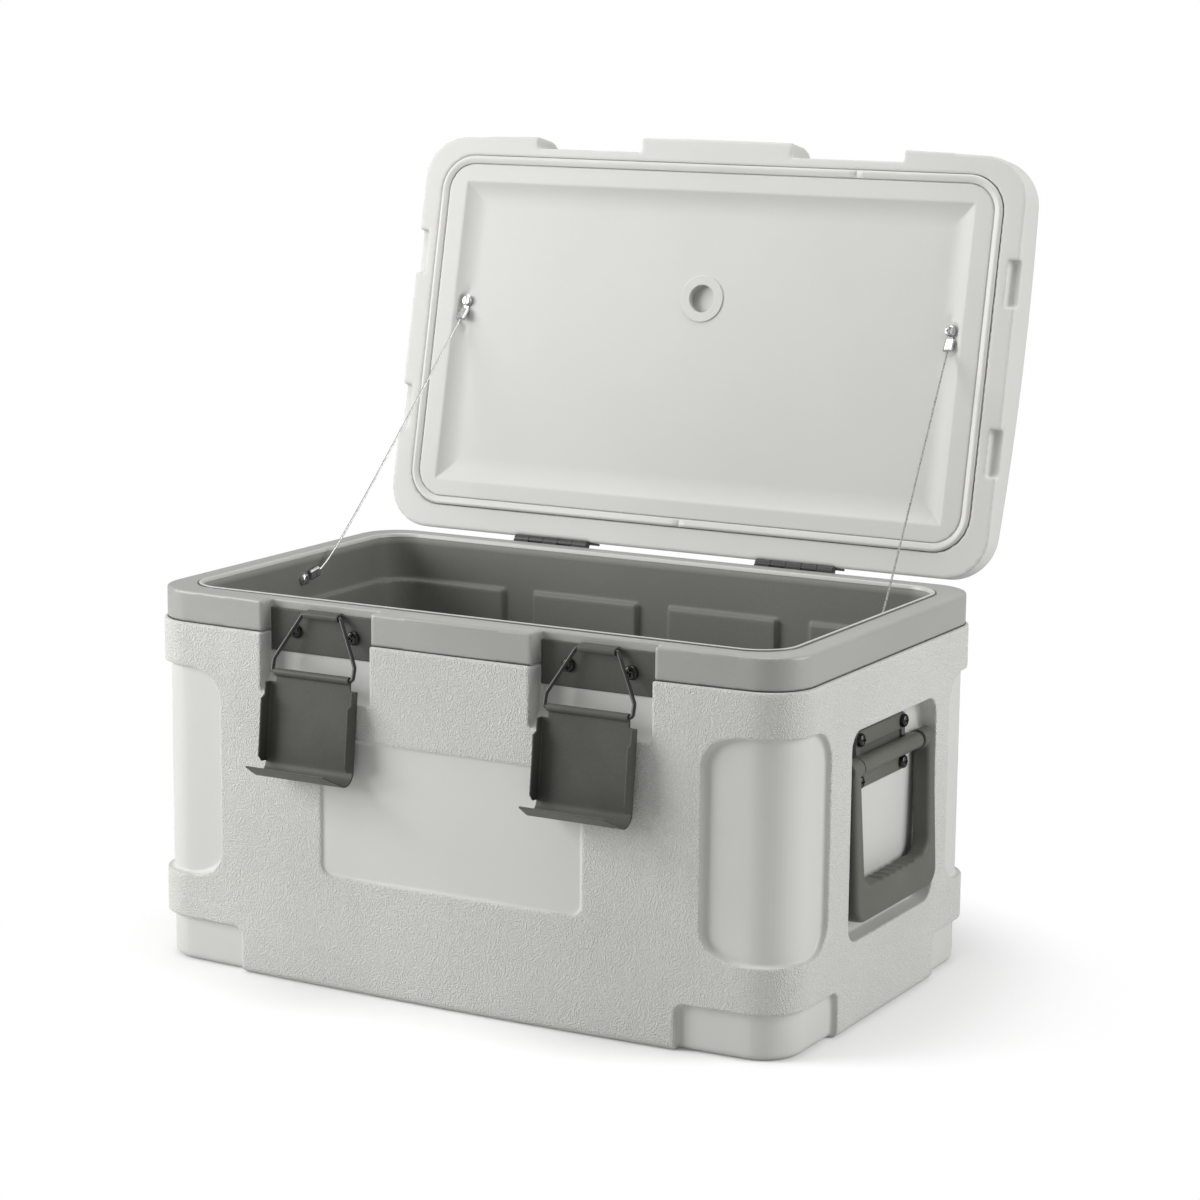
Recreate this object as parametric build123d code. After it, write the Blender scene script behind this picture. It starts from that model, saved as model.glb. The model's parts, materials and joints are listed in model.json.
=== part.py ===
from build123d import *
import math
import os

# Hinged-lid cooler: insulated tub, lid held open by two wire stays, two draw latches, two bail handles.
# Millimetres. +Z up, +X to the right, the front faces -Y. The origin is on the floor, under the tub's middle.

# Outer shell
shell_half_width = 252.2
shell_front_edge = 151.4
shell_bow = 7.0
shell_back = 155.4
shell_corner_radius = 34.0
shell_height = 245.0
shell_wall = 3.2
shell_foot_round = 5.0

# Collar around the mouth
rim_step = 2.2
rim_height = 22.3
rim_wall = 3.0
rim_bead_width = 2.4
rim_bead_height = 0.4

# Mouth and inside of the tub
collar_side = 21.6
collar_front = 10.0
mouth_corner_radius = 26.0
liner_wall = 3.0
liner_floor = 38.0
ledge_depth_below_top = 34.5
ledge_step = 4.0
channel_width = 27.0
channel_pitch = 115.0
liner_floor_round = 12.0

# Shallow panels in the shell
corner_panel_reach = 57.0
corner_panel_bottom = 64.0
corner_panel_top = 214.0
corner_panel_depth = 4.6
corner_panel_round = 22.0
foot_reach = 75.0
foot_top = 32.5
foot_depth = 5.0
foot_round = 7.0
label_half_width = 102.8
label_bottom = 80.5
label_top = 174.0
label_round = 9.0
label_depth = 1.6

# Latch channels
latch_centre = 107.5
latch_channel_width = 90.0
latch_channel_depth = 9.4
latch_channel_height = 63.3
latch_channel_scoop = 16.0
latch_plate_thick = 1.5
latch_plate_height = 30.0
latch_plate_drop = 6.1
latch_screw_offset = 23.5
latch_side_gap = 0.5
knuckle_tube_wall = 1.2
plate_knuckle_length = 28.0
plate_knuckle_forward = 4.0
plate_knuckle_drop = 7.8
wire_diameter = 2.8
wire_fit = 0.06
bail_shoulder_half = 32.8
bail_shoulder_drop = 32.0
bail_bend_radius = 5.0
bail_knuckle_bend = 1.6
bail_turn_radius = 2.4
bail_lean = 16.4
bail_drop = 41.1
bail_tail = 20.0
lever_lean = 5.7
lever_knuckle_length = 60.6
lever_half_width = 35.8
lever_neck = 7.0
lever_length = 62.0
lever_sheet = 1.3
flange_width = 9.8
flange_step = 4.0
flange_step_length = 9.0
hook_radius = 9.0
hook_turn = 112.0
hook_lip = 19.5
hook_lip_taper = 4.5

# Handles
handle_centre = 6.5
handle_pocket_half = 69.0
handle_pocket_bottom = 60.3
handle_pocket_top = 204.3
handle_pocket_depth = 13.5
handle_pocket_round = 13.0
bracket_half_length = 40.0
bracket_height = 40.0
bracket_centre_height = 177.8
bracket_thick = 2.8
bracket_round = 3.0
barrel_radius = 5.8
barrel_half_length = 47.6
barrel_stand_off = 5.2
barrel_drop = 1.2
web_half_length = 43.0
web_slot_half_length = 34.0
web_slot_width = 2.6
web_slot_depth = 4.0
web_slot_into_plate = 1.8
handle_pin_radius = 3.0
handle_pin_fit = 0.06
boss_gap = 2.6
arm_outer_half = 65.5
arm_inner_half_top = 55.7
arm_inner_half_bottom = 52.0
grip_drop = 104.0
grip_height = 24.5
grip_corner = 13.0
grip_inner_corner = 11.0
handle_depth = 13.5
handle_edge_round = 3.0
handle_lean = 2.3
finger_count = 6
finger_pitch = 10.3
finger_radius = 9.0
finger_depth = 1.6
handle_screw_half_y = 35.0
handle_screw_half_z = 14.4
handle_screw_head_height = 3.6

# Lid, drawn closed and then opened
lid_open_angle = 101.8
hinge_stand_off = 2.2
hinge_rise = 0.85
lid_gap = 1.45
lid_rear_thick = 31.0
lid_middle_thick = 47.0
lid_front_thick = 39.0
lid_side_step = 1.7
lid_front_step = 4.9
lid_bow = 6.0
lid_corner_radius = 33.0
lid_top_round = 22.0
lid_wall = 3.0
lid_notch_step = 0.7
side_notch_depth = 8.5
side_notch_height = 6.0
side_notch_spans = ((-74.4, -41.0), (46.6, 80.6))
keeper_wall = 5.0
keeper_height = 14.2
keeper_pocket = 18.0
keeper_floor = 8.6
panel_side_lap = 3.4
panel_front_lap = 2.5
panel_back_lap = 5.5
panel_corner_radius = 28.0
panel_seam = 0.25
panel_frame_thick = 8.0
dish_side_margin = 21.9
dish_front_margin = 20.7
dish_back_margin = 19.7
dish_depth = 4.6
dish_slope = 10.0
gasket_width = 6.1
gasket_groove_depth = 3.0
gasket_proud = 0.75
gasket_side_gap = 0.2
gasket_edge_round = 0.65
gasket_seam = 0.4
gasket_seam_back_x = 3.3
gasket_seam_front_x = 117.0
plug_y = -34.1
plug_flange_radius = 17.5
plug_flange_thick = 1.0
plug_stem_radius = 12.6
plug_stem_depth = 9.0
plug_dish_radius = 10.3
plug_dish_depth = 7.0
plug_edge_round = 0.5
foam_clearance = 0.2

# Hinges
hinge_centre = 102.3
hinge_length = 62.7
hinge_knuckles = 5
knuckle_radius = 3.2
knuckle_gap = 0.4
hinge_pin_radius = 1.6
hinge_pin_fit = 0.05
leaf_thick = 1.6
leaf_height = 18.5
leaf_relief = 0.5
leaf_screw_offsets = (-22.0, 0.0, 22.0)
leaf_screw_drop = 13.0

# Wire stays
cable_radius = 0.75
stay_base_y = 11.4
stay_base_drop = 18.0
stay_side_margin = 9.7
stay_seat_radius = 6.5
stay_seat_reach = 13.0
stay_lid_distance = 179.2
eye_radius = 4.4
eye_thick = 1.2
ferrule_width = 7.6
ferrule_thick = 3.4
ferrule_length = 9.0
ferrule_neck_overlap = 1.0
ferrule_edge_round = 1.5
lid_sleeve_turn = 0.1
ferrule_start = 7.5
ferrule_rise_angle = 16.0
lid_sleeve_rise = 29.0
base_sleeve_rise = 10.0
base_bend_distance = 11.5
lid_bend_distance = 16.0
cable_bend_radius = 36.0

# Screws
screw_head_radius = 4.8
screw_head_height = 2.6
screw_shank_radius = 2.2
screw_length = 10.0
screw_cross_width = 1.3
screw_cross_length = 5.4
screw_cross_depth = 1.4
screw_hole_fit = 0.05
screw_head_round = 0.7
small_screw_head_radius = 4.2
small_screw_head_height = 2.4
leaf_screw_head_radius = 3.4
leaf_screw_head_height = 1.6
leaf_screw_length = 7.0

# A cutting form reaches past what it cuts by the overrun, or by far where nothing else is in its way
overrun = 1.0
far = 400.0
smallest_corner = 1.0

rim_top = shell_height + rim_height
lid_bottom = rim_top + lid_gap
latch_channel_back = shell_front_edge - latch_channel_depth
latch_channel_bottom = rim_top - latch_channel_height
mouth_half_width = shell_half_width - collar_side
mouth_half_depth = latch_channel_back - collar_front
lid_half_width = shell_half_width - lid_side_step
lid_front_edge = shell_front_edge - lid_front_step
lid_back = shell_back
lid_notch_face = latch_channel_back - lid_notch_step
panel_half_width = mouth_half_width + panel_side_lap
panel_front = mouth_half_depth + panel_front_lap
panel_back = mouth_half_depth + panel_back_lap
dish_half_width = panel_half_width - dish_side_margin
dish_front = panel_front - dish_front_margin
dish_back = panel_back - dish_back_margin
stay_lid_x = dish_half_width - stay_side_margin
hinge_axis_y = shell_back + hinge_stand_off
hinge_axis_z = rim_top + hinge_rise
hinge_axis = Axis((0, hinge_axis_y, hinge_axis_z), (1, 0, 0))
plate_face = latch_channel_back + latch_plate_thick
plate_top = rim_top - latch_plate_drop
wire_radius = wire_diameter / 2
knuckle_tube_radius = wire_radius + wire_fit + knuckle_tube_wall
bail_axis_y = -(plate_face + plate_knuckle_forward)
bail_axis_z = rim_top - plate_knuckle_drop
lever_axis_y = bail_axis_y - bail_drop * math.sin(math.radians(bail_lean))
lever_axis_z = bail_axis_z - bail_drop * math.cos(math.radians(bail_lean))
pocket_floor_x = shell_half_width - handle_pocket_depth
bracket_face_x = pocket_floor_x + bracket_thick
pivot_x = bracket_face_x + barrel_stand_off
pivot_z = bracket_centre_height - barrel_drop
boss_radius = handle_depth / 2


# Plan outline with a bowed front and rounded corners, drawn in by an amount all round
def bowed_plan(half_width, front_edge, bow, back, radius, inset=0.0):
    w = half_width - inset
    f = front_edge - inset
    b = back - inset
    sides = Polyline((w, -f), (w, b), (-w, b), (-w, -f))
    front = ThreePointArc((-w, -f), (0, -(f + bow)), (w, -f))
    face = make_face([sides, front])
    return fillet(face.vertices(), max(radius - inset, smallest_corner))


def shell_plan(inset=0.0):
    return bowed_plan(shell_half_width, shell_front_edge, shell_bow, shell_back, shell_corner_radius, inset)


def rim_plan(inset=0.0):
    return shell_plan(inset + rim_step)


def prism(face, bottom, top):
    return extrude(Pos(0, 0, bottom) * face, top - bottom)


# Block with rounded upright corners, given by its plan limits
def rounded_block(x0, x1, y0, y1, z0, z1, radius):
    plan = Pos((x0 + x1) / 2, (y0 + y1) / 2) * RectangleRounded(x1 - x0, y1 - y0, radius)
    return prism(plan, z0, z1)


# Prism along Y with a rounded outline seen from the front
def front_prism(x0, x1, z0, z1, radius, y0, y1):
    outline = Plane.XZ * (Pos((x0 + x1) / 2, (z0 + z1) / 2) * RectangleRounded(x1 - x0, z1 - z0, radius))
    return Pos(0, y1, 0) * extrude(outline, y1 - y0)


# Prism along X with a rounded outline seen from the side
def side_prism(y0, y1, z0, z1, radius, x0, x1):
    outline = Plane.YZ * (Pos((y0 + y1) / 2, (z0 + z1) / 2) * RectangleRounded(y1 - y0, z1 - z0, radius))
    return Pos(x0, 0, 0) * extrude(outline, x1 - x0)


def mirrored(part):
    return part.mirror(Plane.YZ)


def both_sides(part):
    return [part, mirrored(part)]


# Region of the four rounded corners between two heights, reaching along both faces
def corner_region(reach, bottom, top, radius, grow=0.0):
    x0 = shell_half_width - reach - grow
    y0 = shell_front_edge - reach - grow
    y1 = shell_back - reach - grow
    z0 = bottom - grow
    z1 = top + grow
    r = radius + grow
    seen_from_front = front_prism(x0, far, z0, z1, r, -far, far)
    front_part = seen_from_front & side_prism(-far, -y0, z0, z1, r, 0, far)
    back_part = seen_from_front & side_prism(y1, far, z0, z1, r, 0, far)
    return [front_part, back_part] + [mirrored(front_part), mirrored(back_part)]


# What a shallow panel takes off the shell, or leaves as a pad behind it when grown by the wall
def sunk(regions, depth, grow=0.0):
    core = prism(shell_plan(depth + grow), 0, far)
    core = fillet(core.faces().sort_by(Axis.Z)[0].edges(), shell_foot_round)
    return [region - core for region in regions]


# Channel for a latch: straight back wall with a scooped lower end
def latch_channel(grow=0.0):
    back = -(latch_channel_back - grow)
    scoop = latch_channel_scoop
    low = latch_channel_bottom - grow
    front = -far
    profile = Polyline(
        (front, far), (back, far), (back, low + scoop)
    ) + RadiusArc((back, low + scoop), (back - scoop, low), scoop) + Polyline(
        (back - scoop, low), (front, low), (front, far)
    )
    face = Plane.YZ * make_face(profile)
    half = latch_channel_width / 2 + grow
    right = Pos(latch_centre - half, 0, 0) * extrude(face, 2 * half)
    return both_sides(right)


def handle_pocket(grow=0.0):
    right = side_prism(
        handle_centre - handle_pocket_half - grow, handle_centre + handle_pocket_half + grow,
        handle_pocket_bottom - grow, handle_pocket_top + grow, handle_pocket_round + grow,
        pocket_floor_x - grow, far,
    )
    return both_sides(right)


def shell_recesses(grow=0.0):
    panels = corner_region(
        corner_panel_reach, corner_panel_bottom, corner_panel_top, corner_panel_round, grow
    )
    feet = corner_region(foot_reach, -2 * foot_round, foot_top, foot_round, grow)
    label = [front_prism(
        -label_half_width - grow, label_half_width + grow, label_bottom - grow, label_top + grow,
        label_round + grow, -far, 0,
    )]
    return (
        sunk(panels, corner_panel_depth, grow) + sunk(feet, foot_depth, grow)
        + sunk(label, label_depth, grow) + latch_channel(grow) + handle_pocket(grow)
    )


def take_away(part, pieces):
    for piece in pieces:
        part = part - piece
    return part


# Screw along +Z with its head above the origin plane and a cross slot in the head
def screw(head_radius, head_height, length):
    head = Pos(0, 0, head_height / 2) * Cylinder(head_radius, head_height)
    rounding = head.faces().sort_by(Axis.Z)[-1].edges()
    head = fillet(rounding, head_height * screw_head_round)
    shank = Pos(0, 0, -length / 2) * Cylinder(screw_shank_radius, length)
    slot_height = head_height - screw_cross_depth / 2
    for turn in (0, 90):
        head -= Pos(0, 0, slot_height) * Rot(0, 0, turn) * Box(
            screw_cross_length, screw_cross_width, screw_cross_depth
        )
    return head + shank


def screw_hole(length):
    return Pos(0, 0, -length / 2) * Cylinder(screw_shank_radius + screw_hole_fit, length + 2 * screw_hole_fit)


def latch_screw_places():
    height = plate_top - latch_plate_height / 2
    offset = latch_screw_offset
    return [
        Pos(side * (latch_centre + step * offset), -plate_face, height) * Rot(90, 0, 0)
        for side in (1, -1) for step in (1, -1)
    ]


def handle_screw_places():
    places = []
    for side in (1, -1):
        for dy in (-handle_screw_half_y, handle_screw_half_y):
            for dz in (-handle_screw_half_z, handle_screw_half_z):
                spot = Pos(side * bracket_face_x, handle_centre + dy, bracket_centre_height + dz)
                places.append(spot * Rot(0, side * 90, 0))
    return places


def body_leaf_screw_places():
    outer = shell_back - rim_step + leaf_thick
    return [
        Pos(side * hinge_centre + dx, outer, hinge_axis_z - leaf_screw_drop) * Rot(-90, 0, 0)
        for side in (1, -1) for dx in leaf_screw_offsets
    ]


def lid_leaf_screw_places():
    outer = lid_back + leaf_thick
    return [
        Pos(side * hinge_centre + dx, outer, hinge_axis_z + leaf_screw_drop) * Rot(-90, 0, 0)
        for side in (1, -1) for dx in leaf_screw_offsets
    ]


def stay_base_places():
    height = rim_top - stay_base_drop
    face = mouth_half_width - eye_thick
    return [Pos(side * face, stay_base_y, height) * Rot(0, -side * 90, 0) for side in (1, -1)]


def stay_lid_places():
    face = lid_bottom + dish_depth - eye_thick
    distance = hinge_axis_y - stay_lid_distance
    return [Pos(side * stay_lid_x, distance, face) * Rot(180, 0, 0) for side in (1, -1)]


# Outer moulding of the tub
def outer_shell():
    outside = prism(shell_plan(), 0, shell_height)
    outside = fillet(outside.faces().sort_by(Axis.Z)[0].edges(), shell_foot_round)
    outside = take_away(outside, shell_recesses())
    return take_away(outside - shell_hollow(), base_screw_holes())


# Space between the outer shell and the liner
def shell_hollow(extra=0.0):
    wall = shell_wall + extra
    hollow = prism(shell_plan(wall), wall, shell_height + rim_wall)
    return take_away(hollow, shell_recesses(wall))


def rim_hollow(extra=0.0):
    hollow = prism(rim_plan(rim_wall + extra), shell_height - rim_wall, rim_top - rim_wall - extra)
    return take_away(hollow, latch_channel(rim_wall + extra))


def base_screw_holes():
    holes = [place * screw_hole(screw_length) for place in latch_screw_places() + handle_screw_places()]
    holes += [place * screw_hole(leaf_screw_length) for place in body_leaf_screw_places()]
    return holes + [place * screw_hole(screw_length) for place in stay_base_places()]


# Room inside the tub, or the tub's own outside when grown by its wall
def tub_space(grow=0.0):
    ledge = rim_top - ledge_depth_below_top - grow
    top = rim_top if grow else rim_top + rim_bead_height
    half_x = mouth_half_width + grow
    half_y = mouth_half_depth + grow
    radius = mouth_corner_radius + grow
    upper = rounded_block(-half_x, half_x, -half_y, half_y, ledge, top, radius)
    low_x = half_x - ledge_step
    low_y = half_y - ledge_step
    bottom = liner_floor - grow
    lower = rounded_block(-low_x, low_x, -low_y, low_y, bottom, ledge, radius - ledge_step)
    lower = fillet(lower.faces().sort_by(Axis.Z)[0].edges(), liner_floor_round + grow)
    space = upper + lower
    channel_bottom = liner_floor + liner_floor_round - grow
    for column in (-1, 0, 1):
        space += Pos(column * channel_pitch, 0, (ledge + channel_bottom) / 2) * Box(
            channel_width + 2 * grow, 2 * half_y, ledge - channel_bottom
        )
    return space


# Inner tub and the collar moulded with it
def inner_liner():
    collar = prism(rim_plan(), shell_height, rim_top) - rim_hollow()
    bead_x = mouth_half_width + rim_bead_width
    bead_y = mouth_half_depth + rim_bead_width
    bead = rounded_block(
        -bead_x, bead_x, -bead_y, bead_y, rim_top, rim_top + rim_bead_height,
        mouth_corner_radius + rim_bead_width,
    )
    liner = collar + tub_space(liner_wall) + bead - tub_space()
    return take_away(take_away(liner, latch_channel()), base_screw_holes())


def foam_core():
    foam = shell_hollow(foam_clearance) & prism(shell_plan(), 0, shell_height)
    foam += rim_hollow(foam_clearance)
    return take_away(foam - tub_space(liner_wall + foam_clearance), base_screw_holes())


# Plate screwed to the back of a channel, with a rolled knuckle for the wire at its top
def latch_plate():
    width = latch_channel_width - 2 * latch_side_gap
    middle = -(latch_channel_back + latch_plate_thick / 2)
    plate = Pos(0, middle, plate_top - latch_plate_height / 2) * Box(
        width, latch_plate_thick, latch_plate_height
    )
    roll_top = bail_axis_z + knuckle_tube_radius
    tab_low = plate_top - knuckle_tube_radius
    plate += Pos(0, middle, (roll_top + tab_low) / 2) * Box(
        plate_knuckle_length, latch_plate_thick, roll_top - tab_low
    )
    reach = plate_knuckle_forward + latch_plate_thick
    plate += Pos(0, -latch_channel_back - reach / 2, roll_top - knuckle_tube_wall / 2) * Box(
        plate_knuckle_length, reach, knuckle_tube_wall
    )
    plate += tube_along_x(bail_axis_y, bail_axis_z, knuckle_tube_radius, plate_knuckle_length)
    through = plate_knuckle_length + 2 * overrun
    plate -= tube_along_x(bail_axis_y, bail_axis_z, wire_radius + wire_fit, through)
    plate = Pos(latch_centre, 0, 0) * plate
    return take_away(plate, [place * screw_hole(screw_length) for place in latch_screw_places()[:2]])


def tube_along_x(y, z, radius, length):
    return Pos(0, y, z) * Rot(0, 90, 0) * Cylinder(radius, length)


# Wire bail: a closed trapezoid through the plate's knuckle, its ends turned into the lever's knuckle
def latch_bail():
    top_half = plate_knuckle_length / 2 + wire_radius
    side = bail_shoulder_half
    tail = side - bail_tail
    route = FilletPolyline(
        (tail, -bail_drop), (side, -bail_drop), (side, -bail_shoulder_drop), (top_half, 0),
        (-top_half, 0), (-side, -bail_shoulder_drop), (-side, -bail_drop), (-tail, -bail_drop),
        radius=[bail_turn_radius, bail_bend_radius, bail_knuckle_bend, bail_knuckle_bend,
                bail_bend_radius, bail_turn_radius],
    )
    path = Plane.XZ * route
    section = Plane(origin=path @ 0, z_dir=path % 0) * Circle(wire_radius)
    wire = sweep(section, path=path)
    lean = Axis((0, 0, 0), (1, 0, 0))
    return Pos(latch_centre, bail_axis_y, bail_axis_z) * wire.rotate(lean, -bail_lean)


# Sheet lever drawn hanging straight down from its knuckle, forward is -Y
def latch_lever():
    back = knuckle_tube_radius
    front = back - lever_sheet
    middle = (back + front) / 2
    lever = tube_along_x(0, 0, knuckle_tube_radius, lever_knuckle_length)
    lever += Pos(0, middle, -lever_neck / 2) * Box(lever_knuckle_length, lever_sheet, lever_neck)
    body = lever_length - lever_neck
    lever += Pos(0, middle, -lever_neck - body / 2) * Box(2 * lever_half_width, lever_sheet, body)
    lever += hook_profile(middle)
    for side in (1, -1):
        lever += flange(side, back)
    lever -= tube_along_x(0, 0, wire_radius + wire_fit, lever_knuckle_length + 2 * overrun)
    lever = lever.rotate(Axis((0, 0, 0), (1, 0, 0)), -lever_lean)
    return Pos(latch_centre, lever_axis_y, lever_axis_z) * lever


# Rolled foot of the lever, turned forward and up, its lip narrower at the free edge
def hook_profile(middle):
    centre_y = middle - hook_radius
    centre_z = -lever_length
    turn = math.radians(hook_turn)
    inner = hook_radius - lever_sheet / 2
    outer = hook_radius + lever_sheet / 2

    def on_roll(radius, angle):
        return (centre_y + radius * math.cos(angle), centre_z - radius * math.sin(angle))

    along = (-math.sin(turn), -math.cos(turn))
    outer_end = on_roll(outer, turn)
    inner_end = on_roll(inner, turn)
    outer_tip = (outer_end[0] + hook_lip * along[0], outer_end[1] + hook_lip * along[1])
    inner_tip = (inner_end[0] + hook_lip * along[0], inner_end[1] + hook_lip * along[1])
    outline = [
        ThreePointArc(on_roll(outer, 0), on_roll(outer, turn / 2), outer_end),
        Line(outer_end, outer_tip),
        Line(outer_tip, inner_tip),
        Line(inner_tip, inner_end),
        ThreePointArc(inner_end, on_roll(inner, turn / 2), on_roll(inner, 0)),
        Line(on_roll(inner, 0), on_roll(outer, 0)),
    ]
    face = Plane.YZ * make_face(outline)
    roll = Pos(-lever_half_width, 0, 0) * extrude(face, 2 * lever_half_width)
    lip_start = outer_end[0]
    reach = hook_lip + hook_radius
    for side in (1, -1):
        corner = Polyline(
            (side * lever_half_width, lip_start),
            (side * (lever_half_width - hook_lip_taper * reach / hook_lip), lip_start - reach),
            (side * (lever_half_width + hook_lip), lip_start - reach), close=True,
        )
        roll -= Pos(0, 0, -lever_length - hook_radius * 2) * extrude(make_face(corner), hook_radius * 4)
    return roll


def flange(side, back):
    root = back
    narrow = root - lever_sheet - flange_width + flange_step
    wide = root - lever_sheet - flange_width
    start = -lever_neck
    step = start - flange_step_length
    end = -lever_length
    outline = Polyline(
        (root, start), (narrow, start), (narrow, step), (wide, step - flange_step / 2),
        (wide, end + flange_step), (wide + flange_step, end), (root, end), close=True,
    )
    face = Plane.YZ * make_face(outline)
    x0 = lever_half_width - lever_sheet if side > 0 else -lever_half_width
    return Pos(x0, 0, 0) * extrude(face, lever_sheet)


# Bracket of a handle: screwed plate with a barrel standing off on a web
def handle_bracket():
    z0 = bracket_centre_height - bracket_height / 2
    z1 = bracket_centre_height + bracket_height / 2
    plate = side_prism(
        handle_centre - bracket_half_length, handle_centre + bracket_half_length, z0, z1,
        bracket_round, pocket_floor_x, bracket_face_x,
    )
    web = Pos((bracket_face_x + pivot_x) / 2, handle_centre, pivot_z + barrel_radius / 2) * Box(
        barrel_stand_off, 2 * web_half_length, barrel_radius
    )
    slot_middle = bracket_face_x + (web_slot_width - web_slot_into_plate) / 2
    slot = Pos(slot_middle, handle_centre, pivot_z + barrel_radius) * Box(
        web_slot_width + web_slot_into_plate, 2 * web_slot_half_length, 2 * web_slot_depth
    )
    plate -= slot
    web -= slot
    barrel = barrel_solid(barrel_radius, 2 * barrel_half_length) - slot
    bracket = plate + web + barrel - barrel_solid(handle_pin_radius, 2 * (barrel_half_length + overrun))
    return take_away(bracket, [place * screw_hole(screw_length) for place in handle_screw_places()[:4]])


def barrel_solid(radius, length):
    return Pos(pivot_x, handle_centre, pivot_z) * Rot(90, 0, 0) * Cylinder(radius, length)


def handle_pin():
    return barrel_solid(handle_pin_radius, 2 * arm_outer_half)


# Bail handle: two arms from bosses on the pin down to a ribbed grip, its foot leaning out a little
def handle_grip():
    bottom = pivot_z - grip_drop
    left = handle_centre - arm_outer_half
    right = handle_centre + arm_outer_half
    outline = make_face(
        Polyline((left, pivot_z), (right, pivot_z), (right, bottom), (left, bottom), close=True)
    )
    outline = fillet(outline.vertices().sort_by(Axis.Y)[:2], grip_corner)
    inner_bottom = bottom + grip_height
    opening = make_face(Polyline(
        (handle_centre - arm_inner_half_top, pivot_z + overrun),
        (handle_centre + arm_inner_half_top, pivot_z + overrun),
        (handle_centre + arm_inner_half_bottom, inner_bottom),
        (handle_centre - arm_inner_half_bottom, inner_bottom), close=True,
    ))
    opening = fillet(opening.vertices().sort_by(Axis.Y)[:2], grip_inner_corner)
    body = Pos(pivot_x - handle_depth / 2, 0, 0) * extrude(Plane.YZ * (outline - opening), handle_depth)
    low_edges = body.edges().filter_by(lambda edge: edge.center().Z < pivot_z - boss_radius)
    face_edges = low_edges.filter_by(
        lambda edge: abs(abs(edge.center().X - pivot_x) - handle_depth / 2) < 0.01
    )
    body = fillet(face_edges, handle_edge_round)
    boss_width = arm_outer_half - barrel_half_length - boss_gap
    for side in (1, -1):
        middle = handle_centre + side * (arm_outer_half - boss_width / 2)
        body += Pos(pivot_x, middle, pivot_z) * Rot(90, 0, 0) * Cylinder(boss_radius, boss_width)
    first = -(finger_count - 1) / 2
    for finger in range(finger_count):
        spot = handle_centre + (first + finger) * finger_pitch
        height = inner_bottom + finger_radius - finger_depth
        scallop = Rot(0, 90, 0) * Cylinder(finger_radius, handle_depth + 2 * overrun)
        body -= Pos(pivot_x, spot, height) * scallop
    body -= barrel_solid(handle_pin_radius + handle_pin_fit, 2 * (arm_outer_half + overrun))
    return body.rotate(Axis((pivot_x, 0, pivot_z), (0, 1, 0)), -handle_lean)


def lid_plan(inset=0.0):
    return bowed_plan(lid_half_width, lid_front_edge, lid_bow, lid_back, lid_corner_radius, inset)


# Closed lid's outer form with its crowned top, drawn in by a wall
def lid_block(inset=0.0):
    front = -(lid_front_edge + lid_bow)
    low = lid_bottom + inset
    crown = ThreePointArc(
        (front, lid_bottom + lid_front_thick - inset), (0, lid_bottom + lid_middle_thick - inset),
        (lid_back, lid_bottom + lid_rear_thick - inset),
    )
    middle = crown.arc_center
    crowned = tube_along_x(middle.X, middle.Y, crown.radius, 2 * far)
    block = prism(lid_plan(inset), low, lid_bottom + lid_middle_thick + overrun) & crowned
    top_face = block.faces().sort_by(Axis.Z)[-1]
    return fillet(top_face.edges(), lid_top_round - inset)


# What the latch hooks need from the lid: a notch in the front edge and a pocket behind a keeper
def lid_latch_cuts(grow=0.0):
    face = -(lid_notch_face - grow)
    half = latch_channel_width / 2 + grow
    notch = Pos(latch_centre, face - far / 2, lid_bottom + far / 2 - grow) * Box(
        2 * half, far, far + 2 * grow
    )
    keeper_top = lid_bottom + keeper_height - grow
    keeper = Pos(latch_centre, face + keeper_wall / 2, keeper_top + far / 2) * Box(
        2 * half, keeper_wall * 2, far
    )
    floor = lid_bottom + keeper_floor - grow
    y0 = -lid_notch_face + keeper_wall - grow
    y1 = -lid_notch_face + keeper_wall + keeper_pocket + grow
    pocket = Pos(latch_centre, (y0 + y1) / 2, floor + far / 2) * Box(2 * half, y1 - y0, far)
    return both_sides(notch) + both_sides(keeper) + both_sides(pocket)


def lid_side_notches(grow=0.0):
    cuts = []
    for start, end in side_notch_spans:
        x0 = lid_half_width - side_notch_depth - grow
        top = lid_bottom + side_notch_height + grow
        cut = Pos((x0 + far) / 2, (start + end) / 2, (lid_bottom - far + top) / 2) * Box(
            far - x0, end - start + 2 * grow, top - lid_bottom + far
        )
        cuts += both_sides(cut)
    return cuts


def hinge_relief():
    radius = knuckle_radius + leaf_relief
    length = hinge_length + 2 * leaf_relief
    return both_sides(Pos(hinge_centre, 0, 0) * tube_along_x(hinge_axis_y, hinge_axis_z, radius, length))


def panel_opening(bottom, top, inset=0.0):
    return rounded_block(
        -panel_half_width + inset, panel_half_width - inset, -panel_front + inset, panel_back - inset,
        bottom, top, panel_corner_radius - inset,
    )


def lid_hollow(extra=0.0):
    wall = lid_wall + extra
    hollow = lid_block(wall)
    return take_away(hollow, lid_latch_cuts(wall) + lid_side_notches(wall))


def lid_screw_holes():
    holes = [place * screw_hole(leaf_screw_length) for place in lid_leaf_screw_places()]
    return holes + [place * screw_hole(screw_length) for place in stay_lid_places()]


def opened(part):
    return part.rotate(hinge_axis, -lid_open_angle)


def lid_shell():
    shell = take_away(lid_block(), lid_latch_cuts() + lid_side_notches() + hinge_relief())
    shell = shell - lid_hollow() - panel_opening(lid_bottom - overrun, lid_bottom + lid_wall + overrun)
    return take_away(shell, lid_screw_holes())


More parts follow.
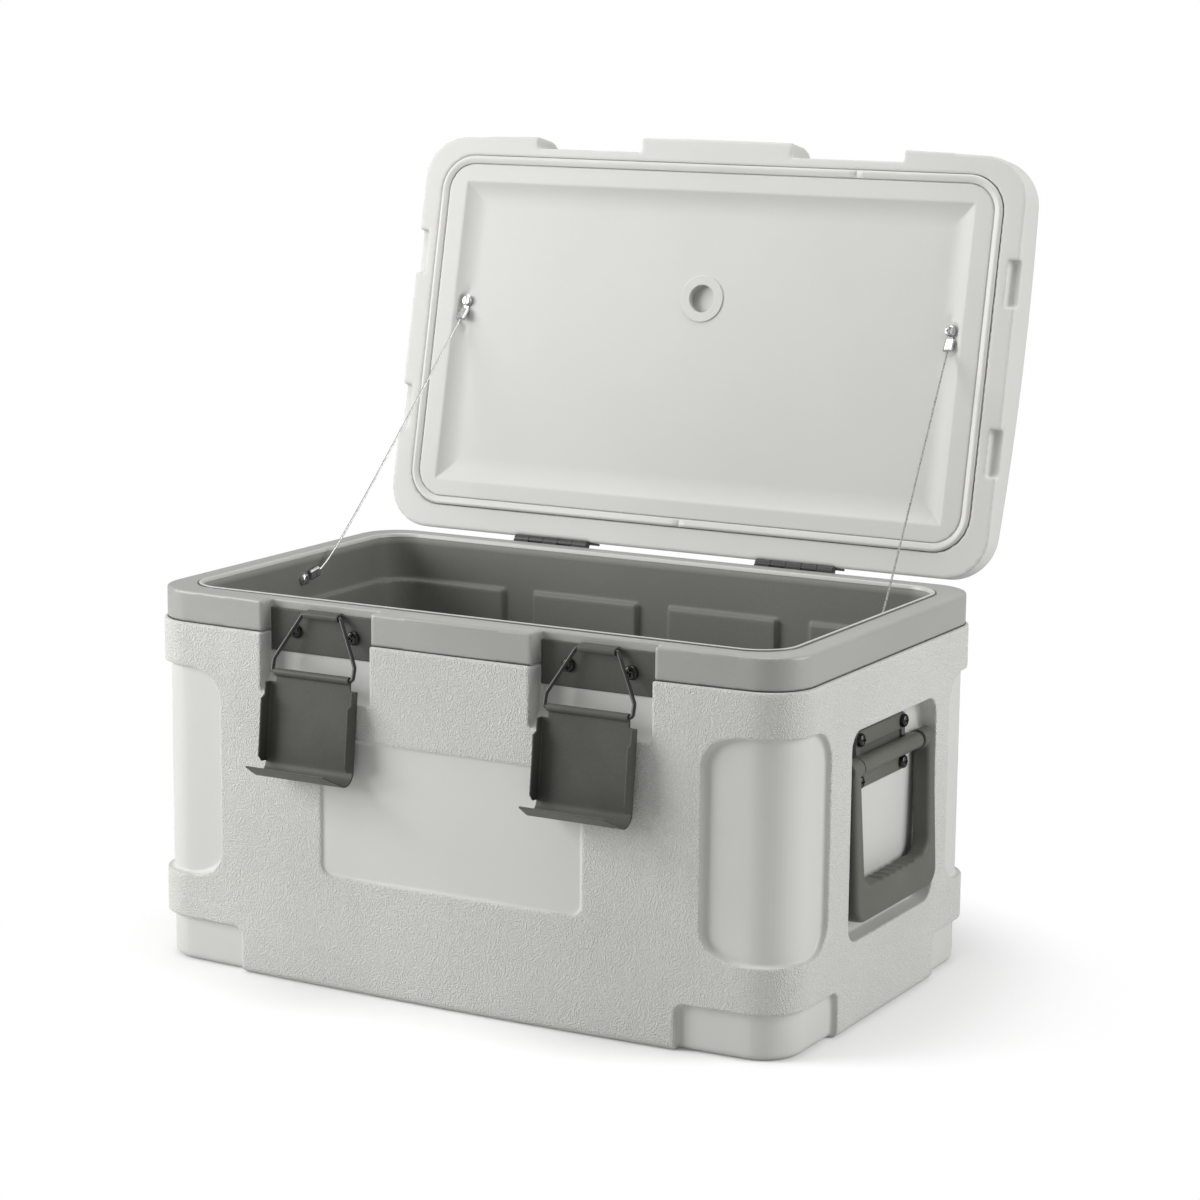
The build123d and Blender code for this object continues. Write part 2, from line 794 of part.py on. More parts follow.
# Sunk middle of the lid's underside, with sloping sides
def dish():
    slope_angle = math.degrees(math.atan2(dish_slope, dish_depth))
    width = 2 * dish_half_width
    depth = dish_front + dish_back
    plan = Pos(0, (dish_back - dish_front) / 2, lid_bottom) * Rectangle(width, depth)
    seat = Rot(0, 0, 90) * SlotCenterToCenter(stay_seat_reach, 2 * stay_seat_radius)
    seat_y = hinge_axis_y - stay_lid_distance + stay_seat_reach / 2
    seat = Pos(stay_lid_x, seat_y, lid_bottom) * extrude(seat, dish_depth)
    return extrude(plan, dish_depth, taper=slope_angle) + seat + mirrored(seat)


def gasket_path(offset, bottom, top):
    return panel_opening(bottom, top, panel_seam + offset)


def lid_inner_panel():
    panel = panel_opening(lid_bottom, lid_bottom + panel_frame_thick, panel_seam) - dish()
    groove_top = lid_bottom + gasket_groove_depth
    groove_width = gasket_width + 2 * gasket_side_gap
    groove = gasket_path(-overrun, lid_bottom - overrun, groove_top)
    groove -= gasket_path(groove_width, lid_bottom - 2 * overrun, groove_top + overrun)
    panel = panel - groove - fill_hole(0.0)
    return take_away(panel, lid_latch_cuts(lid_wall + panel_seam) + lid_screw_holes())


def fill_hole(extra):
    height = plug_stem_depth + plug_flange_thick + extra
    middle = lid_bottom + dish_depth + height / 2 - overrun
    return Pos(0, plug_y, middle) * Cylinder(plug_stem_radius + extra, height + 2 * overrun)


# Soft seal in two strips with a seam at the back and one at the front
def lid_gasket():
    low = lid_bottom - gasket_proud
    high = lid_bottom + gasket_groove_depth - gasket_side_gap / 2
    ring = gasket_path(gasket_side_gap, low, high)
    ring -= gasket_path(gasket_side_gap + gasket_width, low - overrun, high + overrun)
    ring = fillet(ring.faces().sort_by(Axis.Z)[0].edges(), gasket_edge_round)
    for spot, y in ((gasket_seam_back_x, panel_back), (gasket_seam_front_x, -panel_front)):
        ring -= Pos(spot, y, lid_bottom) * Box(gasket_seam, 6 * gasket_width, 6 * gasket_width)
    return ring


def fill_plug():
    face = lid_bottom + dish_depth
    flange_disc = Pos(0, plug_y, face - plug_flange_thick / 2) * Cylinder(
        plug_flange_radius, plug_flange_thick
    )
    stem_radius = plug_stem_radius - foam_clearance
    stem = Pos(0, plug_y, face + plug_stem_depth / 2) * Cylinder(stem_radius, plug_stem_depth)
    plug = flange_disc + stem
    recess = Pos(0, plug_y, face - plug_flange_thick + plug_dish_depth / 2) * Cylinder(
        plug_dish_radius, plug_dish_depth
    )
    plug -= recess
    rim_edge = plug.faces().sort_by(Axis.Z)[0].edges()
    return fillet(rim_edge, plug_edge_round)


def lid_foam():
    foam = lid_hollow(foam_clearance)
    foam = foam - panel_opening(lid_bottom - overrun, lid_bottom + panel_frame_thick + foam_clearance)
    return take_away(foam - fill_hole(foam_clearance), lid_screw_holes())


# Knuckles of one leaf: the body holds the odd ones and the lid the even ones
def knuckle_places(first):
    pitch = hinge_length / hinge_knuckles
    start = hinge_centre - hinge_length / 2 + pitch / 2
    return [start + index * pitch for index in range(first, hinge_knuckles, 2)]


def hinge_leaf(first, back_face, direction):
    pitch = hinge_length / hinge_knuckles
    width = pitch - knuckle_gap
    clear = knuckle_radius + leaf_relief
    plate_y = back_face + leaf_thick / 2
    middle = hinge_axis_z + direction * (clear + (leaf_height - clear) / 2)
    leaf = Pos(hinge_centre, plate_y, middle) * Box(hinge_length, leaf_thick, leaf_height - clear)
    tab = clear + overrun
    tab_middle = hinge_axis_z + direction * tab / 2
    for x in knuckle_places(first):
        leaf += Pos(x, plate_y, tab_middle) * Box(width, leaf_thick, tab)
        leaf += Pos(x, 0, 0) * tube_along_x(hinge_axis_y, hinge_axis_z, knuckle_radius, width)
    fit = 0.0 if first == 0 else hinge_pin_fit
    leaf -= Pos(hinge_centre, 0, 0) * tube_along_x(
        hinge_axis_y, hinge_axis_z, hinge_pin_radius + fit, hinge_length + 2 * overrun
    )
    return leaf


def body_leaf():
    leaf = hinge_leaf(0, shell_back - rim_step, -1)
    return take_away(leaf, [place * screw_hole(leaf_screw_length) for place in body_leaf_screw_places()[:3]])


def lid_leaf():
    leaf = hinge_leaf(1, lid_back, 1)
    return take_away(leaf, [place * screw_hole(leaf_screw_length) for place in lid_leaf_screw_places()[:3]])


def hinge_pin():
    return Pos(hinge_centre, 0, 0) * tube_along_x(hinge_axis_y, hinge_axis_z, hinge_pin_radius, hinge_length)


# End fitting of a wire stay: an eye under its screw and a crimped sleeve, drawn along +X on the plane Z = 0
def stay_end(rise):
    eye = Pos(0, 0, eye_thick / 2) * Cylinder(eye_radius, eye_thick)
    neck_length = ferrule_start
    neck = Pos(neck_length / 2, 0, eye_thick / 2) * Box(neck_length, ferrule_width / 2, eye_thick)
    sleeve_middle = ferrule_start + ferrule_length / 2
    sleeve = Box(ferrule_length, ferrule_width, ferrule_thick)
    sleeve = fillet(sleeve.edges().filter_by(Axis.X), ferrule_edge_round)
    pivot = Axis((neck_length - ferrule_neck_overlap, 0, eye_thick / 2), (0, 1, 0))
    sleeve = (Pos(sleeve_middle, 0, ferrule_thick / 2) * sleeve).rotate(pivot, -rise)
    fitting = eye + neck + sleeve
    return fitting - Cylinder(screw_shank_radius + screw_hole_fit, 4 * eye_thick)


# Middle of the sleeve's open end, at a distance beyond it along its own line
def sleeve_line(rise, beyond=0.0):
    angle = math.radians(rise)
    along = ferrule_length + ferrule_neck_overlap + beyond
    up = (ferrule_thick - eye_thick) / 2
    x = ferrule_start - ferrule_neck_overlap + along * math.cos(angle) - up * math.sin(angle)
    z = eye_thick / 2 + along * math.sin(angle) + up * math.cos(angle)
    return Vector(x, 0, z)


# Frame of the lower fitting on the right inner wall: its sleeve points to the back and up
def base_end_frame():
    up = math.radians(ferrule_rise_angle)
    along = Vector(0, math.cos(up), math.sin(up))
    height = rim_top - stay_base_drop
    return Plane(origin=(mouth_half_width, stay_base_y, height), x_dir=along, z_dir=(-1, 0, 0))


# Frame of the upper fitting on the lid's dish, in the open lid: its sleeve points down the lid
def lid_end_frame():
    y = hinge_axis_y - stay_lid_distance
    spot = (stay_lid_x, y, lid_bottom + dish_depth)
    closed = Plane(origin=spot, x_dir=(lid_sleeve_turn, 1, 0), z_dir=(0, 0, -1))
    turn = Location((0, hinge_axis_y, hinge_axis_z)) * Rot(-lid_open_angle, 0, 0)
    return Plane(turn * Location((0, -hinge_axis_y, -hinge_axis_z)) * closed.location)


def stay_base_end():
    return base_end_frame() * stay_end(base_sleeve_rise)


def stay_lid_end():
    return lid_end_frame() * stay_end(lid_sleeve_rise)


def stay_cable():
    lower = base_end_frame()
    upper = lid_end_frame()
    path = FilletPolyline(
        lower.from_local_coords(sleeve_line(base_sleeve_rise)),
        lower.from_local_coords(sleeve_line(base_sleeve_rise, base_bend_distance)),
        upper.from_local_coords(sleeve_line(lid_sleeve_rise, lid_bend_distance)),
        upper.from_local_coords(sleeve_line(lid_sleeve_rise)),
        radius=cable_bend_radius,
    )
    print("stay length", round(path.length, 2), "bend radius", cable_bend_radius)
    section = Plane(origin=path @ 0, z_dir=path % 0) * Circle(cable_radius)
    return sweep(section, path=path)


def save(name, part):
    export_step(part, "parts/" + name + ".step")


def save_pair(name, right):
    save(name + "_right", right)
    save(name + "_left", mirrored(right))


def group(solids):
    return Compound(children=solids)


def main():
    os.makedirs("parts", exist_ok=True)
    save("outer_shell", outer_shell())
    save("inner_liner", inner_liner())
    save("foam_core", foam_core())
    save_pair("latch_plate", latch_plate())
    save_pair("latch_bail", latch_bail())
    save_pair("latch_lever", latch_lever())
    big = screw(screw_head_radius, screw_head_height, screw_length)
    save("latch_screws", group([place * big for place in latch_screw_places()]))
    tall = screw(screw_head_radius, handle_screw_head_height, screw_length)
    save("handle_screws", group([place * tall for place in handle_screw_places()]))
    save_pair("handle_bracket", handle_bracket())
    save_pair("handle_pin", handle_pin())
    save_pair("handle_grip", handle_grip())
    save_pair("hinge_leaf_body", body_leaf())
    save_pair("hinge_pin", hinge_pin())
    flat = screw(leaf_screw_head_radius, leaf_screw_head_height, leaf_screw_length)
    save("hinge_screws_body", group([place * flat for place in body_leaf_screw_places()]))
    save("hinge_screws_lid", opened(group([place * flat for place in lid_leaf_screw_places()])))
    save_pair("hinge_leaf_lid", opened(lid_leaf()))
    save("lid_shell", opened(lid_shell()))
    save("lid_inner_panel", opened(lid_inner_panel()))
    save("lid_foam", opened(lid_foam()))
    save("lid_gasket", opened(lid_gasket()))
    save("fill_plug", opened(fill_plug()))
    small = screw(small_screw_head_radius, small_screw_head_height, screw_length)
    save("stay_screws_body", group([place * small for place in stay_base_places()]))
    save("stay_screws_lid", opened(group([place * small for place in stay_lid_places()])))
    save_pair("stay_end_body", stay_base_end())
    save_pair("stay_end_lid", stay_lid_end())
    save_pair("stay_cable", stay_cable())


main()
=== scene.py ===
import json
import math
import bpy
import numpy as np
from mathutils import Matrix, Vector


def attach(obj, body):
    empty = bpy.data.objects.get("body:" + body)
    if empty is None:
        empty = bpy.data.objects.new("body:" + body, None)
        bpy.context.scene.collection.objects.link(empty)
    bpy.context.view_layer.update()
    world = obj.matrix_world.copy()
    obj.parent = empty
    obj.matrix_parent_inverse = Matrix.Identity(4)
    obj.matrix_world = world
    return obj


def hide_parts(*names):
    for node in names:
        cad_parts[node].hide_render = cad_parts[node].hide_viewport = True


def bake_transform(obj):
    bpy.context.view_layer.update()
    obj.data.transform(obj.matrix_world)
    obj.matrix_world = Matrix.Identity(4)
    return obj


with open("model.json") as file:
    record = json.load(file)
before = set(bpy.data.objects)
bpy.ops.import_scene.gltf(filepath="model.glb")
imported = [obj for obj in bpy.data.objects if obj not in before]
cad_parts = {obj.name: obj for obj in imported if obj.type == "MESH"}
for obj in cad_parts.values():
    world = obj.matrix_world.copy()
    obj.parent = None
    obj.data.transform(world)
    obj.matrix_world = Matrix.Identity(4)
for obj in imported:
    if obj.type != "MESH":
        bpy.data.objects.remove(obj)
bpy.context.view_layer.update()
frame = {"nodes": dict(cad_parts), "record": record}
nodes = frame["nodes"]
scene = bpy.context.scene
sides = ("right", "left")
print("cooler: frame loaded,", len(nodes), "nodes")


# One socket of a node tree, so that a recipe reads as plain sums
class Flow:
    def __init__(self, tree, socket=None):
        self.tree = tree
        self.socket = socket

    def node(self, kind, settings=None, inputs=None, output=0):
        made = self.tree.nodes.new(kind)
        for name, value in (settings or {}).items():
            setattr(made, name, value)
        for name, value in (inputs or {}).items():
            if isinstance(value, Flow):
                self.tree.links.new(value.socket, made.inputs[name])
            else:
                made.inputs[name].default_value = value
        return Flow(self.tree, made.outputs[output] if made.outputs else None)

    def sum(self, operation, *values, clamp=False):
        return self.node("ShaderNodeMath", {"operation": operation, "use_clamp": clamp}, dict(enumerate(values)))

    def __add__(self, other):
        return self.sum("ADD", self, other)

    def __sub__(self, other):
        return self.sum("SUBTRACT", self, other)

    def __rsub__(self, other):
        return self.sum("SUBTRACT", other, self)

    def __mul__(self, other):
        return self.sum("MULTIPLY", self, other)

    def __truediv__(self, other):
        return self.sum("DIVIDE", self, other)

    def __rtruediv__(self, other):
        return self.sum("DIVIDE", other, self)

    __radd__ = __add__
    __rmul__ = __mul__

    def clamped(self):
        return self.sum("ADD", self, 0.0, clamp=True)

    def between(self, low, high):
        return self.node("ShaderNodeMapRange", {"interpolation_type": "SMOOTHSTEP"},
                         {"Value": self, "From Min": low, "From Max": high})

    # Mixes two colours, each a plain one or the outcome of a recipe
    def tint(self, first, second):
        first, second = (colour if isinstance(colour, Flow) else (*colour, 1.0) for colour in (first, second))
        return self.node("ShaderNodeMix", {"data_type": "RGBA"}, {0: self, 6: first, 7: second}, 2)

    def place(self):
        return self.node("ShaderNodeTexCoord", output=3)

    def noise(self, scale, detail=2.0, roughness=0.5, stretch=None):
        where = self.place()
        if stretch:
            where = self.node("ShaderNodeVectorMath", {"operation": "MULTIPLY"}, {0: where, 1: stretch})
        return self.node("ShaderNodeTexNoise", {}, {"Vector": where, "Scale": scale, "Detail": detail,
                                                    "Roughness": roughness})

    def pebbles(self, scale):
        return self.node("ShaderNodeTexVoronoi", {"feature": "SMOOTH_F1"},
                         {"Vector": self.place(), "Scale": scale, "Smoothness": 0.6})

    def bump(self, distance, strength=1.0):
        return self.node("ShaderNodeBump", {}, {"Height": self, "Distance": distance, "Strength": strength})

    def along(self, axis):
        return self.node("ShaderNodeSeparateXYZ", {}, {0: self.place()}, "XYZ".index(axis))

    def attribute(self, name):
        return self.node("ShaderNodeAttribute", {"attribute_name": name}, output=2)


# Colours are picked as screen values from 0 to 255 and turned into light
def shade(*levels):
    scaled = [level / 255 for level in levels]
    return tuple(v / 12.92 if v <= 0.04045 else ((v + 0.055) / 1.055) ** 2.4 for v in scaled)


def makeFinish(name, fixed, changing):
    material = bpy.data.materials.new(name)
    material.use_nodes = True
    tree = material.node_tree
    tree.nodes.clear()
    start = Flow(tree)
    shader = start.node("ShaderNodeBsdfPrincipled", {}, {**fixed, **changing(start)})
    start.node("ShaderNodeOutputMaterial", {}, {"Surface": shader})
    return material


# Shell moulding: pebbled skin outside, its pebble valleys painted darker as painted shade, satin where the "grain"
# mask on the mesh is low
def shellRecipe(start):
    look = {"light": shade(217, 217, 213), "dark": shade(192, 192, 187), "satin": shade(203, 203, 199),
            "satinDark": shade(199, 199, 195), "pebbles": 820, "creases": 1300, "clouds": 8, "fine": 2300,
            "depth": 0.0007}
    grain = start.attribute("grain")
    pebble = start.pebbles(look["pebbles"])
    crease = start.noise(look["creases"], 1.0, 0.5)
    skin = (pebble.between(0.12, 0.6) * 0.8 + crease.between(0.35, 0.65) * 0.2).clamped()
    cloud = start.noise(look["clouds"], 3.0).between(0.3, 0.7)
    # Painted shade: the valleys between the pebbles are painted darker, where the grain would shadow itself; the
    # clouds are random tone
    pebbleShadeAndClouds = (1 - skin * 0.75 - cloud * 0.2).clamped()
    plain = start.noise(look["fine"], 2.0)
    pebbled = pebbleShadeAndClouds.tint(look["dark"], look["light"])
    smooth = (cloud * 0.7 + plain * 0.3).clamped().tint(look["satin"], look["satinDark"])
    return {
        "Base Color": grain.tint(smooth, pebbled),
        "Roughness": 0.46 + grain * 0.14 + plain * 0.06,
        "Normal": ((1 - skin) * grain * 0.9 + plain * 0.04).bump(look["depth"], 0.9),
    }


# Sizes of the liner, for its finish and for its shape
liner = {"voxel": 0.0012, "passes": 2, "keep": 0.16, "mouthX": 0.2306, "mouthY": 0.132, "top": 0.2673,
         "corner": 0.026, "floor": 0.038, "insideStarts": 0.003, "insideReach": 0.002, "sideFade": 1000,
         "topFade": 250, "backReach": 0.0015, "collarFoot": 0.2435}


# Liner plastic: collar as moulded; the inside of the tub is painted darker as painted shade, and finely textured. The
# bead's own
# mesh carries two masks: "bead" for its crest, painted pale as a painted highlight, and a second one for the dark
# line outside it, a painted shadow of a groove
def linerRecipe(start):
    def within(axis, half):
        place = start.along(axis)
        return ((half + liner["insideReach"] - place.sum("ABSOLUTE", place)) * liner["sideFade"]).clamped()

    # The inside mask carries the painted shade of the tub as well as its rougher, finely textured finish
    below = ((liner["top"] - liner["insideStarts"] - start.along("Z")) * liner["topFade"]).clamped()
    inside = within("X", liner["mouthX"]) * within("Y", liner["mouthY"]) * below
    cloud = start.noise(7, 3.0).between(0.3, 0.7)
    fine = start.noise(1300, 2.0)
    tone = (cloud * 0.6 + fine.between(0.4, 0.6) * 0.4).clamped()
    # Painted highlight: the bead is painted paler than the collar, as where its crest catches the light
    collarAndPaintedBeadHighlight = start.attribute("bead").tint(tone.tint(shade(153, 153, 149), shade(161, 161, 157)),
                                          shade(188, 188, 184))
    # Painted shade: the inside of the tub is painted darker than the collar, where less light reaches into it
    tubPaintedShade = tone.tint(shade(108, 108, 103), shade(118, 118, 113))
    return {
        # Painted shadow: the strip outside the bead is painted dark as the shadow of a groove
        "Base Color": start.attribute("paintedGrooveShadow").tint(inside.tint(collarAndPaintedBeadHighlight, tubPaintedShade), shade(70, 70, 66)),
        "Roughness": 0.3 + inside * 0.22 + fine * 0.06,
        "Normal": (fine * (0.3 + inside * 0.7)).bump(0.0002, 0.6),
    }


# Satin plastic with only the faint unevenness of a moulding
def satinRecipe(light, dark, rough, orangePeel):
    def recipe(start):
        cloud = start.noise(7, 3.0)
        fine = start.noise(1900, 2.0)
        tone = (cloud.between(0.3, 0.7) * 0.7 + fine.between(0.4, 0.6) * 0.3).clamped()
        return {
            "Base Color": tone.tint(dark, light),
            "Roughness": rough + fine * 0.08 + cloud * 0.05,
            "Normal": (fine * 0.4 + start.noise(240, 2.0) * 0.6).bump(orangePeel, 0.5),
        }
    return recipe


# Baked powder coat or matt moulding: tiny dimples and a faint cloudiness
def coatRecipe(light, dark, rough, dimple=0.00008):
    def recipe(start):
        dimples = start.noise(1500, 3.0, 0.6)
        cloud = start.noise(22, 3.0)
        tone = (cloud.between(0.3, 0.7) * 0.5 + dimples.between(0.35, 0.65) * 0.5).clamped()
        return {
            "Base Color": tone.tint(dark, light),
            "Roughness": rough + dimples * 0.15,
            "Normal": dimples.bump(dimple, 0.6),
        }
    return recipe


# Bare steel with drawn lines, which run along the axis where stretch is least
def steelRecipe(light, dark, rough, stretch):
    def recipe(start):
        lines = start.noise(900, 3.0, 0.6, stretch)
        return {
            "Base Color": lines.between(0.3, 0.7).tint(dark, light),
            "Roughness": rough + lines * 0.18,
            "Normal": lines.bump(0.00003, 0.5),
        }
    return recipe


finishes = {
    "shell_plastic": makeFinish("shellSkin", {"Specular IOR Level": 0.4}, shellRecipe),
    "liner_plastic": makeFinish("linerPlastic", {"Specular IOR Level": 0.55}, linerRecipe),
    "foam": makeFinish("foamCore", {}, satinRecipe(shade(235, 226, 190), shade(222, 212, 175), 0.8, 0.0004)),
    "latch_metal": makeFinish("latchCoat", {"Specular IOR Level": 0.28},
                              coatRecipe(shade(86, 86, 80), shade(71, 71, 66), 0.38)),
    "wire_metal": makeFinish("bailCoat", {"Specular IOR Level": 0.5},
                             coatRecipe(shade(50, 50, 47), shade(38, 38, 36), 0.26, 0.00003)),
    "black_screw": makeFinish("blackOxide", {"Metallic": 0.6, "Coat Weight": 0.3},
                              coatRecipe(shade(42, 42, 41), shade(30, 30, 30), 0.2, 0.00002)),
    "handle_plastic": makeFinish("handlePlastic", {"Specular IOR Level": 0.3},
                                 coatRecipe(shade(100, 100, 94), shade(88, 88, 82), 0.4, 0.00006)),
    "steel_pin": makeFinish("pinSteel", {"Metallic": 1.0},
                            steelRecipe(shade(190, 190, 188), shade(160, 160, 158), 0.25, (1.0, 0.02, 1.0))),
    "hinge_metal": makeFinish("hingeBlack", {"Specular IOR Level": 0.5},
                              coatRecipe(shade(56, 56, 53), shade(45, 45, 43), 0.35, 0.00005)),
    "lid_plastic": makeFinish("lidPlastic", {"Specular IOR Level": 0.35},
                              satinRecipe(shade(204, 204, 200), shade(199, 199, 195), 0.42, 0.00003)),
    "gasket_rubber": makeFinish("gasketRubber", {"Specular IOR Level": 0.5},
                                satinRecipe(shade(206, 206, 202), shade(198, 198, 194), 0.34, 0.00003)),
    "bright_steel": makeFinish("brightSteel", {"Metallic": 1.0},
                               steelRecipe(shade(214, 214, 212), shade(186, 186, 184), 0.2, (1.0, 1.0, 0.06))),
}
slotOf = {row["node"]: row["material_slot"] for row in frame["record"]["subparts"]}
bodyOf = {node: body for body, members in frame["record"]["behaviour"]["bodies"].items() for node in members}


def addObject(name, data):
    obj = bpy.data.objects.new(name, data)
    scene.collection.objects.link(obj)
    return obj


def paint(obj, slotName):
    obj.data.materials.clear()
    obj.data.materials.append(finishes[slotName])


def allSmooth(mesh):
    mesh.polygons.foreach_set("use_smooth", np.ones(len(mesh.polygons), bool))


def smoothShade(obj, degrees=35.0):
    allSmooth(obj.data)
    obj.data.set_sharp_from_angle(angle=math.radians(degrees))


def bakeModifiers(obj):
    bpy.context.view_layer.update()
    graph = bpy.context.evaluated_depsgraph_get()
    made = bpy.data.meshes.new_from_object(obj.evaluated_get(graph), depsgraph=graph)
    obj.modifiers.clear()
    obj.data = made


def meshPoints(obj):
    points = np.empty(len(obj.data.vertices) * 3)
    obj.data.vertices.foreach_get("co", points)
    return points.reshape(-1, 3)


def addMesh(obj, other):
    points = np.concatenate([meshPoints(obj), meshPoints(other)])
    faces = [tuple(face.vertices) for face in obj.data.polygons]
    start = len(obj.data.vertices)
    faces += [tuple(start + corner for corner in face.vertices) for face in other.data.polygons]
    joined = bpy.data.meshes.new(obj.name)
    joined.from_pydata(points.tolist(), [], faces)
    obj.data = joined


def faceCentres(obj):
    centres = np.empty(len(obj.data.polygons) * 3)
    obj.data.polygons.foreach_get("center", centres)
    return centres.reshape(-1, 3)


# Leaves out faces that no view can reach, such as the backs of a wall round its foam
def dropFaces(obj, hidden):
    corners = np.empty(len(obj.data.loops), np.int64)
    obj.data.loops.foreach_get("vertex_index", corners)
    kept = corners.reshape(-1, 4)[~hidden(faceCentres(obj))]
    used, faces = np.unique(kept, return_inverse=True)
    mesh = bpy.data.meshes.new(obj.name)
    mesh.from_pydata(meshPoints(obj)[used].tolist(), [], faces.reshape(-1, 4).tolist())
    obj.data = mesh


# A moulded piece: the node's form with the soft edges that a mould or a press leaves
def mouldedCopy(name, node, settings, filling=None, hidden=None, reshape=None):
    obj = addObject(name, nodes[node].data.copy())
    if filling:
        addMesh(obj, nodes[filling])  # backs the skin, so that no seam opens on to the foam
    remesh = obj.modifiers.new("skin", "REMESH")
    remesh.mode = "VOXEL"
    remesh.voxel_size = settings["voxel"]
    soften = obj.modifiers.new("soften", "SMOOTH")
    soften.factor = 0.5
    soften.iterations = settings["passes"]
    bakeModifiers(obj)
    if hidden:
        dropFaces(obj, hidden)
    if reshape:
        obj.data.vertices.foreach_set("co", reshape(meshPoints(obj)).ravel())
    thin = obj.modifiers.new("thin", "DECIMATE")
    thin.ratio = settings["keep"]
    bakeModifiers(obj)
    obj.data.name = name
    allSmooth(obj.data)
    paint(obj, slotOf[node])
    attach(obj, bodyOf[node])
    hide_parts(node)
    return obj


def maskOn(obj, name, values):
    mask = obj.data.attributes.new(name, "FLOAT", "POINT")
    mask.data.foreach_set("value", np.clip(values, 0, 1).astype(np.float32))


# Tub shell: grain everywhere on the outermost skin, none in the panels sunk into it
shell = {"voxel": 0.0011, "passes": 2, "keep": 0.16, "halfWidth": 0.2522, "front": 0.1514, "bow": 0.007,
         "back": 0.1554, "corner": 0.034, "grainStarts": 0.0011, "grainEnds": 0.0004, "top": 0.2462,
         "skinDepth": 0.0168, "underside": 0.004}

# Its outline from above: a front with a long bow, flat sides and back, and four rounded corners
shell["bowRadius"] = (shell["halfWidth"] ** 2 + shell["bow"] ** 2) / (2 * shell["bow"])
shell["bowCentre"] = shell["bowRadius"] - shell["front"] - shell["bow"]
shell["cornerX"] = shell["halfWidth"] - shell["corner"]
shell["frontCornerY"] = shell["bowCentre"] - math.sqrt((shell["bowRadius"] - shell["corner"]) ** 2
                                                       - shell["cornerX"] ** 2)
shell["backCornerY"] = shell["back"] - shell["corner"]


def depthBelowSkin(points):
    x, y = np.abs(points[:, 0]), points[:, 1]
    front = shell["bowRadius"] - np.hypot(x, y - shell["bowCentre"])
    depth = np.minimum(np.minimum(shell["halfWidth"] - x, shell["back"] - y), front)
    cornerY = np.where(y > 0, shell["backCornerY"], shell["frontCornerY"])
    rounded = shell["corner"] - np.hypot(x - shell["cornerX"], y - cornerY)
    outside = (x > shell["cornerX"]) & (np.abs(y) > np.abs(cornerY))
    return np.where(outside, rounded, depth)


# 1 in the middle, and softly down to 0 at the reach
def hump(values, middle, reach):
    share = np.clip(1 - np.abs(values - middle) / reach, 0, 1)
    return share * share * (3 - 2 * share)


# The front ends of the corner panels and feet and the top of the label panel, set where the photo has them
frontEnds = {"starts": 0.134, "fades": 0.006, "panelX": 0.1952, "footX": 0.1772, "panelShift": 0.007,
             "footShift": 0.006, "reach": 0.02, "footBand": 0.045, "labelTop": 0.174, "labelReach": 0.016,
             "labelShift": 0.0045, "labelX": 0.6}


def frontEdges(points):
    x, y, z = points[:, 0], points[:, 1], points[:, 2]
    ends = frontEnds
    front = np.clip((-y - ends["starts"]) / ends["fades"], 0, 1)
    panel = ends["panelShift"] * hump(np.abs(x), ends["panelX"], ends["reach"]) * (z > ends["footBand"])
    foot = ends["footShift"] * hump(np.abs(x), ends["footX"], ends["reach"]) * (z < ends["footBand"])
    label = ends["labelShift"] * hump(z, ends["labelTop"], ends["labelReach"]) * hump(x, 0.0, ends["labelX"])
    moved = points.copy()
    moved[:, 0] -= np.sign(x) * front * (panel + foot)
    moved[:, 2] += front * label
    return moved


def shellBacks(centres):
    height = centres[:, 2]
    buried = (depthBelowSkin(centres) > shell["skinDepth"]) & (height > shell["underside"])
    return (height > shell["top"]) | buried


tubShell = mouldedCopy("tubShell", "outer_shell", shell, "foam_core", shellBacks, frontEdges)
maskOn(tubShell, "grain", (shell["grainStarts"] - depthBelowSkin(meshPoints(tubShell)))
       / (shell["grainStarts"] - shell["grainEnds"]))

# Foam behind the shell, drawn back with the panels so that it stays covered
tubFoam = addObject("tubFoam", nodes["foam_core"].data.copy())
tubFoam.data.vertices.foreach_set("co", frontEdges(meshPoints(tubFoam)).ravel())
paint(tubFoam, "foam")
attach(tubFoam, "base")
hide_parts("foam_core")
print("cooler: tub shell,", len(tubShell.data.polygons), "faces")


# Liner with its collar, without the side that faces the foam
def linerBacks(centres):
    beyond = np.maximum(np.abs(centres[:, 0]) - liner["mouthX"], np.abs(centres[:, 1]) - liner["mouthY"])
    under = centres[:, 2] < liner["floor"] - liner["backReach"]
    return ((beyond > liner["backReach"]) & (centres[:, 2] < liner["collarFoot"])) | under


tubLiner = mouldedCopy("tubLiner", "inner_liner", liner, hidden=linerBacks)
print("cooler: liner,", len(tubLiner.data.polygons), "faces")


# Rings round a rounded rectangle: each profile point is (how far in, how high), and stops are extra x places
# on the long sides, where a seam pinches the profile. The pinch is (how far along, what is left of the height)
ring = {"arcSteps": 12, "pinch": ((-0.006, 1.0), (-0.0009, 1.0), (-0.0002, 0.3), (0.0002, 0.3), (0.0009, 1.0),
                                  (0.006, 1.0))}


